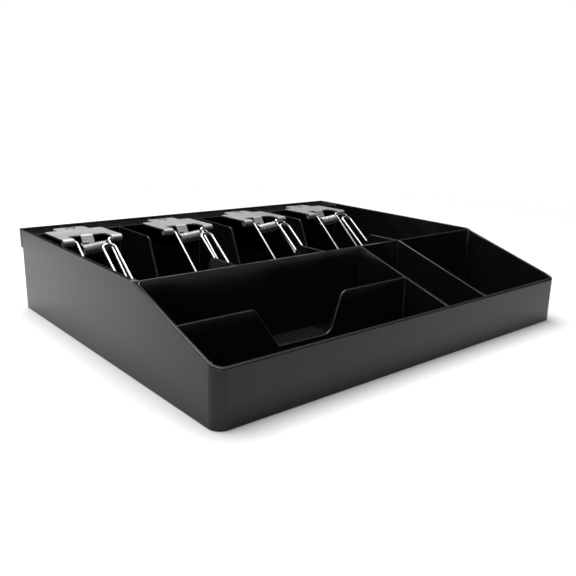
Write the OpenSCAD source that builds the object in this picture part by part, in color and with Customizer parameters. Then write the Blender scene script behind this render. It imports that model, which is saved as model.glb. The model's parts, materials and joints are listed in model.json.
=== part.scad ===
// Cash tray: a moulded till insert with four note wells behind and four coin wells in front.
// Each note well has a screwed sheet-steel clip, whose sprung wire bail holds the notes down.
// Origin: centre of the footprint on the surface it stands on. +X right, -Y to the user, +Z up.

/* [Tray] */
// Width of the tray across the front
tray_w = 325; // [300:1:350]
// Depth of the tray from the front wall to the back wall, without the back lip
tray_d = 276.8; // [270:0.2:290]
// Height of the back wall
back_h = 64.5; // [63:0.5:70]
// Height of the side walls where their slope steepens
kink_h = 62.4; // [58:0.2:63]
// Height of the front wall
front_h = 34.2; // [28:0.2:40]
// Distance from the front wall to the middle wall's front face
mid_y = 84.4; // [80:0.2:95]
// Thickness of the outer walls
wall_t = 2.2; // [1.8:0.1:3]
// Thickness of the dividers
divider_t = 1.8; // [1.4:0.1:2.4]
// Height of the wells' floor over the standing surface
floor_z = 8; // [6:0.5:12]
// Thickness of the floor
floor_t = 2.4; // [1.8:0.1:3]
// Outer radius of the two front corners
front_corner_r = 8; // [5:0.5:10]
// Outer radius of the two back corners
back_corner_r = 3; // [2.5:0.5:6]

/* [Back ledge and lip] */
// Depth of the ledge that carries the clips, from the back face of the tray
ledge_d = 25.3; // [22:0.1:30]
// Height of the ledge's top
ledge_z = 63.2; // [60:0.2:64]
// Thickness of the ledge
ledge_t = 3; // [2:0.5:5]
// How far the lip stands out of the back wall
lip_out = 2.6; // [1.5:0.1:4]
// Height of the lip
lip_h = 15.4; // [8:0.2:20]

/* [Note wells] */
// Distance from the left face to each note divider's middle
note_divider_x = [73, 151, 228.8]; // [60:0.1:260]
// Distance from the front wall to the notch's front corner in a note divider
notch_front_y = 115; // [105:1:125]
// Distance from the front wall to the notch's back corner in a note divider
notch_back_y = 202; // [190:1:210]
// Height of the bottom of the notch in a note divider
notch_floor_z = 20; // [14:1:30]

/* [Coin wells] */
// Distance from the left face to each coin divider's middle
coin_divider_x = [187.4, 230.4]; // [160:0.1:280]
// Distance from the front wall to the cross divider's middle
cross_y = 40.4; // [34:0.2:50]
// Height of the cross divider
cross_h = 47; // [42:0.5:48]
// Height of the bottom of the scoop in the cross divider
scoop_floor_z = 20; // [15:0.5:26]
// Distance from the left face to the top of the scoop's left slope
scoop_x0 = 54.5; // [45:0.5:65]
// Distance from the left face to the top of the scoop's right slope
scoop_x1 = 124.5; // [115:0.5:140]
// Number of grip ribs on the floor of each coin well
grip_ribs = 5; // [0:1:8]
// Distance between two grip ribs
rib_pitch = 3.7; // [3:0.1:5]

/* [Clips] */
// Middle of each clip across the tray, from the tray's middle
clip_x = [-130, -47, 33.6, 109.7]; // [-132:0.1:132]
// Distance from the front wall to the clips' hinge line
hinge_y = 214.6; // [210:0.2:225]
// Width of a clip's plate
plate_w = 46.4; // [44:0.2:48]
// Thickness of the plate
plate_t = 1.3; // [1:0.1:1.5]
// Width of the tongue that is screwed to the ledge
tongue_w = 26; // [20:1:32]
// Outer radius of the rolled knuckles
knuckle_r = 2.8; // [2.5:0.1:3]
// Length of each knuckle
knuckle_w = 8.6; // [7:0.2:10]
// Diameter of the bail's wire
wire_d = 2.4; // [2:0.1:2.6]
// Radial clearance of the wire in its knuckles
running_gap = 0.1; // [0.03:0.01:0.1]
// Distance between the bail's two outer legs
leg_span = 25; // [22:0.5:26]
// Angle of the outer legs below the horizontal
leg_angle = 41.4; // [39:0.2:43]
// Distance between the two legs of the bail's middle loop
loop_span = 9.6; // [8:0.2:12]
// Angle of the middle loop's legs below the horizontal
loop_angle = 38.2; // [36:0.1:39.5]
// Distance from the hinge line forward to the top of the middle loop
loop_out = 26.6; // [24:0.2:30]
// Height of the top of the middle loop over the hinge line
loop_up = 1; // [0:0.1:2.5]
// Outer radius of the spring's coil
coil_r = 4.2; // [3.5:0.1:4.5]
// Length of the spring's coil
coil_l = 19.4; // [16:0.2:20]
// Diameter of the spring's wire
spring_wire_d = 1.1; // [0.8:0.1:1.2]
// Diameter of the screw's head
head_d = 7.4; // [6:0.2:9]

/* [Hidden] */
total_d = tray_d + lip_out;
$fn = 64;
sheet_gap = 0.3;
sink = 0.2; // how far a raised detail reaches into what it stands on
corner_steps = 6;

// Tray
mid_t = 2;
mid_wall_h = 61.9;
kink_y = 88.3;
kink_r = 7;
inner_r = 3;
well_back_y = tray_d - ledge_d;
under_floor = floor_z - floor_t;
notch_lean = 0.44;
notch_r = 5;
scoop_r = 7;
scoop_run0 = 17.5;
scoop_run1 = 9;
rib_share = 0.48;
rib_h = 0.8;
rib_w = 1.4;
rib_margin = 2.5;
boss_r = 4;
boss_l = 12;
pilot_r = 1.5;

// Clips, measured from the hinge line: x across, y backwards, z up
hinge_z = ledge_z + plate_t - knuckle_r;
plate_back = 36;
tongue_back = 48;
plate_cut = 11.4;
low = knuckle_r - plate_t;
roll_gap = 1.1;
tab_w = 9.6;
tab_z = knuckle_r - 6.8;
tab_out = 4.4;
wire_r = wire_d / 2;
bend_swell = 0.03;
bend_reach = 0.06;
trunnion_x = plate_w / 2 - 0.8;
leg_x = leg_span / 2;
loop_x = loop_span / 2;
foot_z = floor_z + sheet_gap + wire_r - hinge_z;
leg_foot = -foot_z / tan(leg_angle);
loop_foot = loop_out + (loop_up - foot_z) / tan(loop_angle);
toe_l = 10;
coil_pos = [0, -3.7, -5.3];
coil_tilt = 5;
coil_wall = 1.4;
coil_turn_r = coil_r - coil_wall / 2;
hook_x = 0.6;
tab_end = [-1, 5.4, -3.6];
screw_y = 42;
screw_hole_r = 1.9;
shank_r = 1.45;
shank_l = 10;
head_h = 1;
head_rim_h = 0.4;
recess_w = 1.1;
recess_l = 4.6;
recess_d = 0.8;

function unit(v) = v / norm(v);
function turned(v, a) = [v[0] * cos(a) - v[1] * sin(a), v[0] * sin(a) + v[1] * cos(a)];

// The points that round corner b of the outline a-b-c with radius r
function corner(a, b, c, r) =
    let (d1 = unit(b - a), d2 = unit(c - b), t = acos(d1 * d2), side = sign(cross(d1, d2)),
         start = b - r * tan(t / 2) * d1, centre = start + r * side * [-d1[1], d1[0]])
    r == 0 ? [b] : [for (i = [0 : corner_steps]) centre + turned(start - centre, side * t * i / corner_steps)];

// A closed outline with its corners rounded; each entry is [x, y, radius]
function rounded(pts) =
    let (n = len(pts), p = [for (q = pts) [q[0], q[1]]])
    [for (i = [0 : n - 1]) each corner(p[(i + n - 1) % n], p[i], p[(i + 1) % n], pts[i][2])];

// The height of the sloping front part of the side walls and coin dividers
function slope_z(y) = front_h + (kink_h - front_h) * y / kink_y;

// An outline in Y and Z, made w thick from x0 to the right
module side_plate(x0, w, pts) {
    translate([x0, 0, 0]) rotate([90, 0, 90]) linear_extrude(w) polygon(rounded(pts));
}

// An outline in X and Z, made t thick from y0 to the back
module cross_plate(y0, t, pts) {
    translate([0, y0 + t, 0]) rotate([90, 0, 0]) linear_extrude(t) polygon(rounded(pts));
}

// What rounding an upright corner of radius r takes away
module corner_cut(r, h) {
    difference() {
        translate([-1, -1, -1]) cube([r + 1, r + 1, h + 2]);
        translate([r, r, -2]) cylinder(r = r, h = h + 4);
    }
}

// A block with upright corners rounded by rf in front and rb behind
module round_block(w, d, h, rf, rb) {
    difference() {
        cube([w, d, h]);
        corner_cut(rf, h);
        translate([w, 0, 0]) rotate(90) corner_cut(rf, h);
        translate([w, d, 0]) rotate(180) corner_cut(rb, h);
        translate([0, d, 0]) rotate(270) corner_cut(rb, h);
    }
}

// From the tray's front left corner to the middle of its footprint
module from_corner() {
    translate([-tray_w / 2, -total_d / 2, 0]) children();
}

// The tray's outline, whose sides fall away to the front
module outer_walls() {
    intersection() {
        round_block(tray_w, tray_d, back_h, front_corner_r, back_corner_r);
        side_plate(0, tray_w, [[0, 0, 0], [tray_d, 0, 0], [tray_d, back_h, 0], [kink_y, kink_h, kink_r],
                               [0, front_h, 0]]);
    }
}

// A well from x0 to x1 and y0 to y1, open upwards, with rounded upright corners
module well(x0, x1, y0, y1, rf = inner_r, rb = inner_r) {
    translate([x0, y0, floor_z]) round_block(x1 - x0, y1 - y0, back_h, rf, rb);
}

// A divider between two note wells, with a finger notch
module note_divider(x) {
    lean = notch_lean * (kink_h - notch_floor_z);
    side_plate(x - divider_t / 2, divider_t,
               [[mid_y, floor_z - 1, 0], [well_back_y + 1, floor_z - 1, 0], [well_back_y + 1, ledge_z, 0],
                [notch_back_y, kink_h, notch_r], [notch_back_y - lean, notch_floor_z, 2 * notch_r],
                [notch_front_y + lean, notch_floor_z, 2 * notch_r], [notch_front_y, kink_h - 0.2, notch_r],
                [mid_y, mid_wall_h, 0]]);
}

// A divider between two coin wells, as high as the side walls
module coin_divider(x) {
    side_plate(x - divider_t / 2, divider_t,
               [[wall_t / 2, floor_z - 1, 0], [mid_y + 1, floor_z - 1, 0], [mid_y + 1, mid_wall_h, 0],
                [mid_y, mid_wall_h, 0], [wall_t / 2, slope_z(wall_t / 2), 0]]);
}

// The divider across the left coin wells, with a scoop
module cross_divider() {
    right = coin_divider_x[0];
    cross_plate(cross_y - divider_t / 2, divider_t,
                [[wall_t / 2, floor_z - 1, 0], [right, floor_z - 1, 0], [right, cross_h, 0],
                 [scoop_x1, cross_h, scoop_r], [scoop_x1 - scoop_run1, scoop_floor_z, scoop_r],
                 [scoop_x0 + scoop_run0, scoop_floor_z, 2], [scoop_x0, cross_h, scoop_r],
                 [wall_t / 2, cross_h, 0]]);
}

// Low ribs across the middle of the floor of a coin well from x0 to x1, counted forwards from its back wall
module grip_ribs(x0, x1, back_y) {
    l = rib_share * (x1 - x0);
    if (grip_ribs > 0)
        for (i = [0 : grip_ribs - 1])
            translate([(x0 + x1 - l) / 2, back_y - rib_margin - rib_w - i * rib_pitch, floor_z - sink])
                cube([l, rib_w, rib_h + sink]);
}

// Bosses under the ledge for the clips' screws
module clip_bosses() {
    for (x = clip_x)
        translate([x + tray_w / 2, hinge_y + screw_y, ledge_z - boss_l]) cylinder(r = boss_r, h = boss_l - 1);
}

module pilot_holes() {
    for (x = clip_x)
        translate([x + tray_w / 2, hinge_y + screw_y, ledge_z - boss_l - 1])
            cylinder(r = pilot_r, h = boss_l + 2);
}

// The one-piece moulding: walls, floor, ledge, lip and all dividers
module tray() {
    in0 = wall_t;
    in1 = tray_w - wall_t;
    hollow_y = well_back_y + wall_t;
    color("#232325") from_corner() difference() {
        union() {
            difference() {
                outer_walls();
                well(in0, in1, wall_t, mid_y, front_corner_r - wall_t, inner_r);
                well(in0, in1, mid_y + mid_t, well_back_y);
                translate([in0, well_back_y, ledge_z])
                    cube([in1 - in0, ledge_d - wall_t, back_h]);
                translate([in0, wall_t, -1])
                    round_block(in1 - in0, tray_d - 2 * wall_t, under_floor + 1, front_corner_r - wall_t, 1);
                translate([in0, hollow_y, 0])
                    cube([in1 - in0, tray_d - wall_t - hollow_y, ledge_z - ledge_t]);
            }
            translate([0, mid_y, floor_z - 1]) cube([tray_w, mid_t, mid_wall_h - floor_z + 1]);
            for (x = note_divider_x) note_divider(x);
            for (x = coin_divider_x) coin_divider(x);
            cross_divider();
            grip_ribs(in0, coin_divider_x[0], mid_y);
            grip_ribs(in0, coin_divider_x[0], cross_y - divider_t / 2);
            grip_ribs(coin_divider_x[0], coin_divider_x[1], mid_y);
            grip_ribs(coin_divider_x[1], in1, mid_y);
            translate([0, tray_d - wall_t, back_h - lip_h]) cube([tray_w, lip_out + wall_t, lip_h]);
            clip_bosses();
        }
        pilot_holes();
    }
}

// Places a clip's piece at clip number i, with the hinge line's middle as its origin
module at_clip(i) {
    translate([clip_x[i - 1], hinge_y - total_d / 2, hinge_z]) children();
}

// A round rod from a to b
module rod(a, b, r) {
    d = b - a;
    translate(a) rotate([0, acos(d[2] / norm(d)), atan2(d[1], d[0])]) cylinder(r = r, h = norm(d));
}

// The bend of a rod of radius r round corner b of the path a-b-c, with radius bend on its middle line
module elbow(a, b, c, bend, r) {
    d1 = unit(b - a);
    t = acos(d1 * unit(c - b));
    start = b - bend * tan(t / 2) * d1;
    axis = unit(cross(d1, unit(c - b)));
    out = cross(d1, axis);
    centre = start - bend * out;
    multmatrix([[out[0], d1[0], axis[0], centre[0]],
                [out[1], d1[1], axis[1], centre[1]],
                [out[2], d1[2], axis[2], centre[2]]])
        rotate_extrude(angle = t) translate([bend, 0]) circle(r);
}

// How much of the path the bend at point i takes
function trim(p, bends, i) =
    i == 0 || i == len(p) - 1 ? 0 : bends[i] * tan(acos(unit(p[i] - p[i - 1]) * unit(p[i + 1] - p[i])) / 2);

// A bent wire of radius r along path p. Its bends are a hair thicker, and its straight parts end inside them
module wire(p, bends, r) {
    n = len(p);
    for (i = [0 : n - 2]) {
        d = unit(p[i + 1] - p[i]);
        from = i == 0 ? 0 : trim(p, bends, i) - bend_reach;
        to = i == n - 2 ? 0 : trim(p, bends, i + 1) - bend_reach;
        rod(p[i] + from * d, p[i + 1] - to * d, r);
    }
    for (i = [1 : n - 2]) elbow(p[i - 1], p[i], p[i + 1], bends[i], r + bend_swell);
}

function flipped(p) = [for (i = [len(p) - 1 : -1 : 0]) [-p[i][0], p[i][1], p[i][2]]];

// A roll of the plate round the bail's trunnion, open by a slot under the plate
module knuckle(x0) {
    translate([x0, 0, 0]) difference() {
        rotate([0, 90, 0]) cylinder(r = knuckle_r, h = knuckle_w);
        translate([-1, 0, 0]) rotate([0, 90, 0]) cylinder(r = wire_r + running_gap, h = knuckle_w + 2);
        translate([-1, 0, low - roll_gap]) cube([knuckle_w + 2, knuckle_r + 1, roll_gap]);
    }
}

// Stamped plate: a tongue screwed to the ledge, two rolled knuckles and a tab bent down between them
module clip_bracket(i) {
    w = plate_w / 2;
    k = w - knuckle_w;
    t = tab_w / 2;
    tab_y = plate_cut - tab_out;
    color("#c4c6c9") at_clip(i) {
        difference() {
            union() {
                translate([0, 0, low]) linear_extrude(plate_t)
                    polygon(rounded([[-w, 0, 0], [-k, 0, 0], [-k, plate_cut, 1.5], [k, plate_cut, 1.5],
                                     [k, 0, 0], [w, 0, 0], [w, plate_back, 2], [tongue_w / 2, plate_back, 1],
                                     [tongue_w / 2, tongue_back, 4], [-tongue_w / 2, tongue_back, 4],
                                     [-tongue_w / 2, plate_back, 1], [-w, plate_back, 2]]));
                knuckle(-w);
                knuckle(k);
                side_plate(-t, tab_w, [[plate_cut + 1, knuckle_r, 0], [plate_cut - 0.8, knuckle_r, 2.4],
                                       [tab_y - 0.8, tab_z, 0], [tab_y + 0.4, tab_z - 0.7, 0],
                                       [plate_cut + 0.2, low, 1], [plate_cut + 1, low, 0]]);
            }
            translate([0, screw_y, 0]) cylinder(r = screw_hole_r, h = 2 * knuckle_r);
        }
    }
}

// One bent wire: trunnions in the knuckles, two legs, a flat foot on the well's floor and the middle loop
module clip_bail(i) {
    half = [[-trunnion_x, 0, 0], [-leg_x, 0, 0], [-leg_x, -leg_foot, foot_z],
            [-leg_x, -loop_foot + toe_l, foot_z], [-loop_x, -loop_foot, foot_z], [-loop_x, -loop_out, loop_up]];
    bends = [0, 2, 6, 4, 3.2, 3.6];
    color("#e2e3e6") at_clip(i)
        wire(concat(half, flipped(half)), concat(bends, [for (k = [5 : -1 : 0]) bends[k]]), wire_r);
}

// Torsion spring: a floating coil with one arm to the tab and one that rests on the top of the bail's loop
module clip_spring(i) {
    end_x = coil_l / 2 - spring_wire_d;
    rise = end_x * sin(coil_tilt);
    r = spring_wire_d / 2;
    over = loop_up + wire_r + r + sheet_gap;
    color("#55565a") at_clip(i) {
        translate(coil_pos) rotate([0, 90 - coil_tilt, 0]) difference() {
            cylinder(r = coil_r, h = coil_l, center = true);
            cylinder(r = coil_r - coil_wall, h = coil_l + 2, center = true);
        }
        rod([end_x, coil_pos[1], coil_pos[2] + rise + coil_turn_r], [hook_x, -loop_out - wire_r, over], r);
        rod([-end_x, coil_pos[1] + coil_turn_r, coil_pos[2] - rise], tab_end, r);
    }
}

// Pan-head screw with a cross recess
module clip_screw(i) {
    top = knuckle_r;
    rise = head_h - head_rim_h;
    dome_r = (head_d * head_d / 4 + rise * rise) / (2 * rise);
    color("#9a9c9f") at_clip(i) translate([0, screw_y, top]) difference() {
        union() {
            cylinder(r = head_d / 2, h = head_rim_h);
            intersection() {
                translate([0, 0, head_h - dome_r]) sphere(r = dome_r);
                cylinder(r = head_d / 2, h = head_h);
            }
            translate([0, 0, -shank_l]) cylinder(r = shank_r, h = shank_l + sink);
        }
        for (a = [45, 135])
            rotate(a) translate([-recess_l / 2, -recess_w / 2, head_h - recess_d])
                cube([recess_l, recess_w, 2]);
    }
}

tray();
clip_bracket(1);  // clip_bracket_1
clip_bracket(2);  // clip_bracket_2
clip_bracket(3);  // clip_bracket_3
clip_bracket(4);  // clip_bracket_4
clip_bail(1);  // clip_bail_1
clip_bail(2);  // clip_bail_2
clip_bail(3);  // clip_bail_3
clip_bail(4);  // clip_bail_4
clip_spring(1);  // clip_spring_1
clip_spring(2);  // clip_spring_2
clip_spring(3);  // clip_spring_3
clip_spring(4);  // clip_spring_4
clip_screw(1);  // clip_screw_1
clip_screw(2);  // clip_screw_2
clip_screw(3);  // clip_screw_3
clip_screw(4);  // clip_screw_4
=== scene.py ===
"""Looks of the till tray: bevelled mouldings and plates, wound springs, materials, lights and camera.

Lengths are in metres in the CAD's frame. A clip's own points are in millimetres from the middle of its
hinge line: x across, y backwards, z up.
"""
import json
from math import ceil, cos, pi, radians, sin

import bmesh
import bpy
from mathutils import Matrix, Quaternion, Vector


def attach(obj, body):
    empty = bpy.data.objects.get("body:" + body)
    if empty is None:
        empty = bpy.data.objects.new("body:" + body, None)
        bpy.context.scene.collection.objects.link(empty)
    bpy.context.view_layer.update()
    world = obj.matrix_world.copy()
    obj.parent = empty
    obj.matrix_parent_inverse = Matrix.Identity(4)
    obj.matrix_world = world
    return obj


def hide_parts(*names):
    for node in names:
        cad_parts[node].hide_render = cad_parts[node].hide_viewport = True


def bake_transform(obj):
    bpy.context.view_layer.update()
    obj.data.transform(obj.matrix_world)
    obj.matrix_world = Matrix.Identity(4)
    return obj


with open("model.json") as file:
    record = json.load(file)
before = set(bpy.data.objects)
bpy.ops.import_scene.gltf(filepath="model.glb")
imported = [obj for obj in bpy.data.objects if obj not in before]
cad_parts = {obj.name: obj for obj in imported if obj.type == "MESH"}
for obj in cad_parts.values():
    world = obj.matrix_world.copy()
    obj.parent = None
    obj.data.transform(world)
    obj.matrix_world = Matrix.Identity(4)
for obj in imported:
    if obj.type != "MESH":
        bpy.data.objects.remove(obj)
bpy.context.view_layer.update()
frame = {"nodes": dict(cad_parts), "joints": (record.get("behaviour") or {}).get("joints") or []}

CLIPS = (1, 2, 3, 4)
MM = 0.001

# Camera
CAMERA_AT = (-0.3293, -0.3912, 0.1584)
CAMERA_AZIMUTH = 0.700
CAMERA_DOWN = 0.263
CAMERA_ROLL = -0.022
LENS = 40.96

# Light
SKY_LOW = 0.015
SKY_HIGH = 0.9
SKY_TURNS_PALE = (0.35, 0.9)
OVERHEAD_AT, OVERHEAD_SIZE, OVERHEAD_POWER = (-0.1, 0.35, 1.4), 1.5, 40
FRONT_AT, FRONT_SIZE, FRONT_POWER = (-1.2, -1.5, 0.55), 1.2, 9
AIM = (0, 0, 0.03)
FLOOR_RADIUS = 1.3
FLOOR_FADE = (0.42, 0.85)
FLOOR_ROUGHNESS = 0.9

# Edges, as the real pieces have them
TRAY_EDGE = 0.66 * MM
PLATE_EDGE = 0.22 * MM
SCREW_EDGE = 0.12 * MM
SHARP = radians(35)
WELD = 0.002 * MM
NEARLY_FLAT = radians(0.4)
BEVEL_STEPS = 3

# Heights between which the tray's edges begin to be painted pale, partly as rubbing wear and partly as a
# painted highlight where the rounded edges catch the overhead light
WEAR_AND_HIGHLIGHT_FROM = (0.012, 0.026)

# Spring, in millimetres from the hinge line
SPRING_WIRE_R = 0.55
COIL_TURN_R = 3.65
COIL_LENGTH = 19.4
COIL_PITCH = 1.16
COIL_AT = Vector((0, -3.7, -5.3))
COIL_TILT = radians(5)
COIL_STEPS = 28
COIL_START = radians(95)
COIL_STOP = radians(79)
TUBE_SIDES = 12
RIGHT_ARM = [Vector(p) for p in ((6.2, -12, 1.0), (1.6, -22.6, 3.3), (0.7, -26.4, 3.15), (0.6, -28.6, 2.8),
                                 (0.6, -28.6, 0.9), (0.7, -27.9, -0.9))]
LEFT_ARM = [Vector(p) for p in ((-0.6, 6.35, -2.6), (-3.6, 6.2, -2.55), (-7.6, 3.2, -2.2))]


# Materials

class Surface:
    """A principled material whose pattern comes from object coordinates."""

    def __init__(self, name, metallic, ior=1.5):
        self.material = bpy.data.materials.new(name)
        self.material.use_nodes = True
        self.nodes = self.material.node_tree.nodes
        self.links = self.material.node_tree.links
        self.shader = self.nodes["Principled BSDF"]
        self.shader.inputs["Metallic"].default_value = metallic
        self.shader.inputs["IOR"].default_value = ior
        self.place = self.nodes.new("ShaderNodeTexCoord").outputs["Object"]

    def scaled(self, scale):
        mapping = self.nodes.new("ShaderNodeMapping")
        mapping.inputs["Scale"].default_value = scale
        self.links.new(self.place, mapping.inputs["Vector"])
        return mapping.outputs["Vector"]

    def noise(self, scale, detail=3.0, stretch=(1, 1, 1)):
        node = self.nodes.new("ShaderNodeTexNoise")
        node.inputs["Scale"].default_value = scale
        node.inputs["Detail"].default_value = detail
        self.links.new(self.scaled(stretch), node.inputs["Vector"])
        return node.outputs["Fac"]

    def cells(self, scale):
        node = self.nodes.new("ShaderNodeTexVoronoi")
        node.inputs["Scale"].default_value = scale
        self.links.new(self.place, node.inputs["Vector"])
        return node.outputs["Color"]

    def ranged(self, value, low, high, start=0.3, stop=0.7):
        node = self.nodes.new("ShaderNodeMapRange")
        for name, number in (("From Min", start), ("From Max", stop), ("To Min", low), ("To Max", high)):
            node.inputs[name].default_value = number
        self.links.new(value, node.inputs["Value"])
        return node.outputs["Result"]

    def math(self, operation, a, b):
        node = self.nodes.new("ShaderNodeMath")
        node.operation = operation
        for socket, value in zip(node.inputs, (a, b)):
            if isinstance(value, (int, float)):
                socket.default_value = value
            else:
                self.links.new(value, socket)
        return node.outputs["Value"]

    def mixed(self, factor, color_a, color_b):
        node = self.nodes.new("ShaderNodeMix")
        node.data_type = "RGBA"
        self.links.new(factor, node.inputs["Factor"])
        for socket, value in ((node.inputs[6], color_a), (node.inputs[7], color_b)):
            if isinstance(value, tuple):
                socket.default_value = (*value, 1)
            else:
                self.links.new(value, socket)
        return node.outputs[2]

    def edges(self, radius):
        """1 along convex and concave edges, 0 on flat faces."""
        bevel = self.nodes.new("ShaderNodeBevel")
        bevel.samples = 4
        bevel.inputs["Radius"].default_value = radius
        true_normal = self.nodes.new("ShaderNodeNewGeometry").outputs["Normal"]
        dot = self.nodes.new("ShaderNodeVectorMath")
        dot.operation = "DOT_PRODUCT"
        self.links.new(bevel.outputs["Normal"], dot.inputs[0])
        self.links.new(true_normal, dot.inputs[1])
        return self.ranged(dot.outputs["Value"], 1, 0, 0.75, 0.99)

    def bump(self, height, strength, distance):
        node = self.nodes.new("ShaderNodeBump")
        node.inputs["Strength"].default_value = strength
        node.inputs["Distance"].default_value = distance
        self.links.new(height, node.inputs["Height"])
        self.links.new(node.outputs["Normal"], self.shader.inputs["Normal"])

    def set(self, socket, value):
        self.links.new(value, self.shader.inputs[socket])


def tray_plastic():
    """Black moulded polystyrene: satin, with a fine spark-eroded grain, and edges painted a little paler,
    partly as rubbing wear and partly as a painted highlight.
    """
    s = Surface("tray_plastic", 0, ior=1.36)
    cloud = s.ranged(s.noise(9, 4), 0, 1)
    # painted highlight: along the upper edges the black is mixed toward pale grey, partly as rubbing wear
    # and partly as the light the rounded edges catch
    wear_and_highlight = s.math("MULTIPLY", s.edges(0.9 * MM), s.ranged(s.noise(160, 5), 0.5, 1, 0.36, 0.6))
    height = s.nodes.new("ShaderNodeSeparateXYZ")
    s.links.new(s.place, height.inputs["Vector"])
    wear_and_highlight = s.math("MULTIPLY", wear_and_highlight, s.ranged(height.outputs["Z"], 0.05, 1, *WEAR_AND_HIGHLIGHT_FROM))
    body = s.mixed(cloud, (0.0038, 0.0038, 0.0042), (0.0058, 0.0058, 0.0063))
    s.set("Base Color", s.mixed(wear_and_highlight, body, (0.19, 0.19, 0.193)))
    smear = s.ranged(s.noise(26, 6, (1, 0.35, 1)), 0.17, 0.24)
    s.set("Roughness", s.math("ADD", smear, s.math("MULTIPLY", wear_and_highlight, 0.12)))
    grain = s.math("ADD", s.noise(1500, 2), s.math("MULTIPLY", s.noise(420, 2), 0.5))
    s.bump(grain, 0.10, 0.02 * MM)
    return s.material


def zinc_plate():
    """Zinc-plated sheet: satin, with rolling marks across the tray and a faint crystal mottle."""
    s = Surface("clip_plate", 1)
    rolled = s.noise(500, 4, (0.05, 1, 1))
    mottle = s.cells(420)
    shade = s.mixed(s.ranged(s.noise(55, 3), 0, 1), (0.31, 0.31, 0.315), (0.38, 0.38, 0.385))
    s.set("Base Color", s.mixed(s.ranged(mottle, 0, 0.12, 0, 1), shade, (0.44, 0.44, 0.45)))
    rubbed = s.math("MULTIPLY", s.edges(0.5 * MM), -0.10)
    s.set("Roughness", s.math("ADD", s.ranged(rolled, 0.50, 0.60), rubbed))
    s.bump(rolled, 0.12, 0.02 * MM)
    return s.material


def nickel_wire():
    """Nickel-plated wire, a little dulled, with faint drawing marks."""
    s = Surface("bail_wire", 1)
    s.set("Base Color", s.mixed(s.ranged(s.noise(70, 3), 0, 1), (0.40, 0.40, 0.404), (0.48, 0.48, 0.484)))
    drawn = s.noise(900, 3, (1, 0.04, 0.05))
    s.set("Roughness", s.ranged(drawn, 0.16, 0.28))
    s.bump(drawn, 0.06, 0.01 * MM)
    return s.material


def spring_steel():
    """Dark oiled music wire."""
    s = Surface("spring_wire", 1)
    s.set("Base Color", s.mixed(s.ranged(s.noise(240, 4), 0, 1), (0.26, 0.26, 0.265), (0.37, 0.367, 0.364)))
    s.set("Roughness", s.ranged(s.noise(700, 3), 0.36, 0.5))
    s.bump(s.noise(2500, 2), 0.08, 0.01 * MM)
    return s.material


def screw_steel():
    """Zinc-plated screw, darker than the plate under it."""
    s = Surface("screw_steel", 1)
    s.set("Base Color", s.mixed(s.ranged(s.noise(380, 3), 0, 1), (0.20, 0.20, 0.205), (0.28, 0.28, 0.285)))
    s.set("Roughness", s.ranged(s.noise(1100, 3), 0.34, 0.46))
    s.bump(s.noise(1800, 2), 0.08, 0.01 * MM)
    return s.material


# Pieces

def new_piece(name, mesh, material):
    """A piece of the object, with its material."""
    piece = bpy.data.objects.new(name, mesh)
    bpy.context.scene.collection.objects.link(piece)
    mesh.materials.append(material)
    return piece


def breakable(e, width):
    """Whether a bevel fits on this edge: it is a sharp outer edge, and longer than the bevel is wide."""
    return len(e.link_faces) == 2 and e.is_convex and e.calc_face_angle() > SHARP and e.calc_length() > width


def bevelled(node, name, edge, material, body):
    """The CAD node with its sharp edges broken by a small bevel, as moulding and tumbling leave them."""
    bm = bmesh.new()
    bm.from_mesh(frame["nodes"][node].data)
    bmesh.ops.remove_doubles(bm, verts=bm.verts, dist=WELD)
    bmesh.ops.dissolve_limit(bm, angle_limit=NEARLY_FLAT, verts=bm.verts, edges=bm.edges)
    mesh = bpy.data.meshes.new(name)
    points = [v.co.copy() for v in bm.verts]
    bm.verts.index_update()
    mesh.from_pydata(points, [], [[v.index for v in f.verts] for f in bm.faces])
    soft = {tuple(sorted(v.index for v in e.verts)): breakable(e, edge) for e in bm.edges}
    bm.free()
    mesh.shade_smooth()
    mesh.set_sharp_from_angle(angle=SHARP)
    weights = mesh.attributes.new("bevel_weight_edge", "FLOAT", "EDGE")
    weights.data.foreach_set("value", [float(soft[tuple(sorted(e.vertices))]) for e in mesh.edges])
    for e in mesh.edges:
        e.use_edge_sharp = e.use_edge_sharp and not soft[tuple(sorted(e.vertices))]
    piece = new_piece(name, mesh, material)
    bevel = piece.modifiers.new("edge", "BEVEL")
    bevel.width = edge
    bevel.segments = BEVEL_STEPS
    bevel.limit_method = "WEIGHT"
    bevel.use_clamp_overlap = False
    bevel.miter_outer = "MITER_ARC"
    flat = piece.modifiers.new("flat_faces", "WEIGHTED_NORMAL")
    flat.keep_sharp = True
    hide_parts(node)
    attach(piece, body)
    return piece


def rounded_path(points, times=3):
    """The open path with its corners cut down to curves."""
    for _ in range(times):
        cut = [points[0]]
        for a, b in zip(points, points[1:]):
            cut += [a.lerp(b, 0.25), a.lerp(b, 0.75)]
        points = cut + [points[-1]]
    return points


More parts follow.
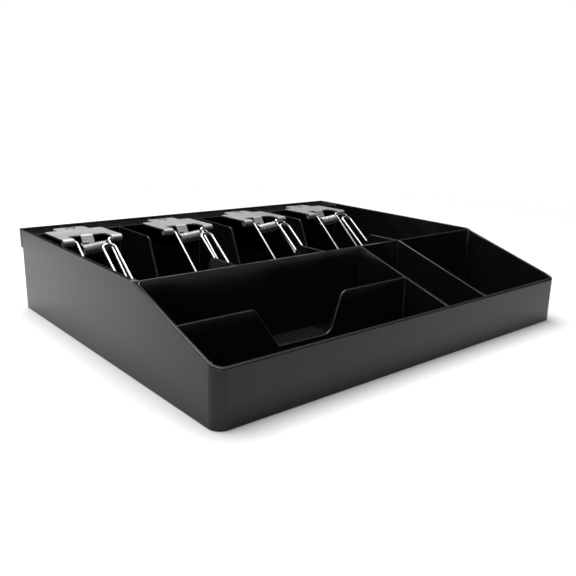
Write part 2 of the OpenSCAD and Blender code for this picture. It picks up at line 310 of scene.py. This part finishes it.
def tube(name, points, radius):
    """A round wire along the points, with rounded ends."""
    tangents = [(b - a).normalized() for a, b in zip([points[0]] + points[:-1], points[1:] + [points[-1]])]
    across = tangents[0].orthogonal().normalized()
    bm = bmesh.new()
    rings = []

    def ring(centre, tangent, r):
        side = tangent.cross(across)
        rings.append([bm.verts.new(centre + r * (across * cos(a) + side * sin(a)))
                      for a in (2 * pi * k / TUBE_SIDES for k in range(TUBE_SIDES))])

    end_steps = (0.0, 0.45, 0.75, 0.93)
    for k in end_steps[1:][::-1]:
        ring(points[0] - tangents[0] * radius * k, tangents[0], radius * (1 - k * k) ** 0.5)
    for i, (point, tangent) in enumerate(zip(points, tangents)):
        across = (across - tangent * across.dot(tangent)).normalized()
        ring(point, tangent, radius)
    for k in end_steps[1:]:
        ring(points[-1] + tangents[-1] * radius * k, tangents[-1], radius * (1 - k * k) ** 0.5)
    for a, b in zip(rings, rings[1:]):
        for k in range(TUBE_SIDES):
            after = (k + 1) % TUBE_SIDES
            bm.faces.new((a[k], a[after], b[after], b[k]))
    bm.faces.new(rings[0][::-1])
    bm.faces.new(rings[-1])
    bmesh.ops.recalc_face_normals(bm, faces=bm.faces)
    mesh = bpy.data.meshes.new(name)
    bm.to_mesh(mesh)
    bm.free()
    mesh.shade_smooth()
    return mesh


def coil_path():
    """The turns of the spring's coil from left to right, ending on top, where both arms leave it."""
    along = Vector((cos(COIL_TILT), 0, sin(COIL_TILT)))
    up = Vector((-sin(COIL_TILT), 0, cos(COIL_TILT)))
    back = Vector((0, 1, 0))
    length = COIL_LENGTH - 2 * SPRING_WIRE_R
    start, stop = COIL_START, COIL_STOP + 2 * pi * round(length / COIL_PITCH)
    steps = ceil((stop - start) / (2 * pi) * COIL_STEPS)
    points = []
    for k in range(steps + 1):
        share = k / steps
        angle = start + (stop - start) * share
        points.append(COIL_AT + along * length * (share - 0.5)
                      + COIL_TURN_R * (back * cos(angle) + up * sin(angle)))
    return points


def spring(i, material):
    """A wound torsion spring that floats between the bracket's tab and the top of the bail's loop."""
    hinge = Vector(joint_of(i)["pos_m"])
    coil = coil_path()
    left = rounded_path(LEFT_ARM + [coil[0] + (coil[0] - coil[1]).normalized() * 2, coil[0]])
    right = rounded_path([coil[-1], coil[-1] + (coil[-1] - coil[-2]).normalized() * 3] + RIGHT_ARM)
    path = [hinge + p * MM for p in left[:-1] + coil + right[1:]]
    name = f"spring_coil_{i}"
    piece = new_piece(name, tube(name, path, SPRING_WIRE_R * MM), material)
    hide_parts(f"clip_spring_{i}")
    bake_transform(piece)
    return piece


def joint_of(i):
    return next(j for j in frame["joints"] if j["child"] == f"bail_{i}")


def build():
    plastic, plate, nickel, dark, zinc = (make() for make in
                                          (tray_plastic, zinc_plate, nickel_wire, spring_steel, screw_steel))
    bevelled("tray", "tray_moulding", TRAY_EDGE, plastic, "tray")
    for i in CLIPS:
        bevelled(f"clip_bracket_{i}", f"clip_plate_{i}", PLATE_EDGE, plate, "tray")
        bevelled(f"clip_screw_{i}", f"pan_screw_{i}", SCREW_EDGE, zinc, "tray")
        spring(i, dark)
        bail = frame["nodes"][f"clip_bail_{i}"]
        bail.data.materials.clear()
        bail.data.materials.append(nickel)


# Stage

def camera():
    forward = Vector((sin(CAMERA_AZIMUTH) * cos(CAMERA_DOWN), cos(CAMERA_AZIMUTH) * cos(CAMERA_DOWN),
                      -sin(CAMERA_DOWN)))
    level = Vector((cos(CAMERA_AZIMUTH), -sin(CAMERA_AZIMUTH), 0))
    turn = Quaternion(forward, CAMERA_ROLL)
    right = turn @ level
    up = right.cross(forward)
    data = bpy.data.cameras.new("camera")
    data.lens = LENS
    data.sensor_width = 36
    data.clip_start = 0.01
    obj = bpy.data.objects.new("camera", data)
    bpy.context.scene.collection.objects.link(obj)
    place = Matrix((right, up, -forward)).transposed().to_4x4()
    place.translation = Vector(CAMERA_AT)
    obj.matrix_world = place
    bpy.context.scene.camera = obj


def area_light(name, at, size, power):
    data = bpy.data.lights.new(name, "AREA")
    data.shape = "DISK"
    data.size = size
    data.energy = power
    light = bpy.data.objects.new(name, data)
    bpy.context.scene.collection.objects.link(light)
    light.location = at
    light.rotation_euler = (Vector(AIM) - Vector(at)).to_track_quat("-Z", "Y").to_euler()


def floor():
    bm = bmesh.new()
    bmesh.ops.create_circle(bm, cap_ends=True, segments=96, radius=FLOOR_RADIUS)
    mesh = bpy.data.meshes.new("floor")
    bm.to_mesh(mesh)
    bm.free()
    s = Surface("floor_paper", 0)
    s.shader.inputs["Roughness"].default_value = FLOOR_ROUGHNESS
    s.set("Base Color", s.mixed(s.ranged(s.noise(3, 2), 0, 1), (0.65, 0.65, 0.65), (0.67, 0.67, 0.67)))
    distance = s.nodes.new("ShaderNodeVectorMath")
    distance.operation = "LENGTH"
    s.links.new(s.place, distance.inputs[0])
    s.set("Alpha", s.ranged(distance.outputs["Value"], 1, 0, *FLOOR_FADE))
    obj = bpy.data.objects.new("floor", mesh)
    mesh.materials.append(s.material)
    bpy.context.scene.collection.objects.link(obj)


def sky(world):
    """Dark at eye level and pale overhead, as under a lit ceiling; plain white where the camera looks."""
    nodes, links = world.node_tree.nodes, world.node_tree.links
    seen = nodes["Background"]
    seen.inputs["Color"].default_value = (1, 1, 1, 1)
    seen.inputs["Strength"].default_value = 1.0
    split = nodes.new("ShaderNodeSeparateXYZ")
    links.new(nodes.new("ShaderNodeTexCoord").outputs["Generated"], split.inputs["Vector"])
    ramp = nodes.new("ShaderNodeMapRange")
    ramp.interpolation_type = "SMOOTHSTEP"
    low, high = SKY_TURNS_PALE
    for name, number in (("From Min", low), ("From Max", high), ("To Min", SKY_LOW), ("To Max", SKY_HIGH)):
        ramp.inputs[name].default_value = number
    links.new(split.outputs["Z"], ramp.inputs["Value"])
    lit = nodes.new("ShaderNodeBackground")
    links.new(ramp.outputs["Result"], lit.inputs["Strength"])
    mix = nodes.new("ShaderNodeMixShader")
    links.new(nodes.new("ShaderNodeLightPath").outputs["Is Camera Ray"], mix.inputs["Fac"])
    links.new(lit.outputs["Background"], mix.inputs[1])
    links.new(seen.outputs["Background"], mix.inputs[2])
    links.new(mix.outputs["Shader"], nodes["World Output"].inputs["Surface"])


def studio():
    world = bpy.data.worlds.new("studio")
    bpy.context.scene.world = world
    world.use_nodes = True
    sky(world)
    area_light("overhead", OVERHEAD_AT, OVERHEAD_SIZE, OVERHEAD_POWER)
    area_light("front", FRONT_AT, FRONT_SIZE, FRONT_POWER)
    bpy.context.scene.view_settings.view_transform = "Standard"
    floor()
    camera()


build()
studio()
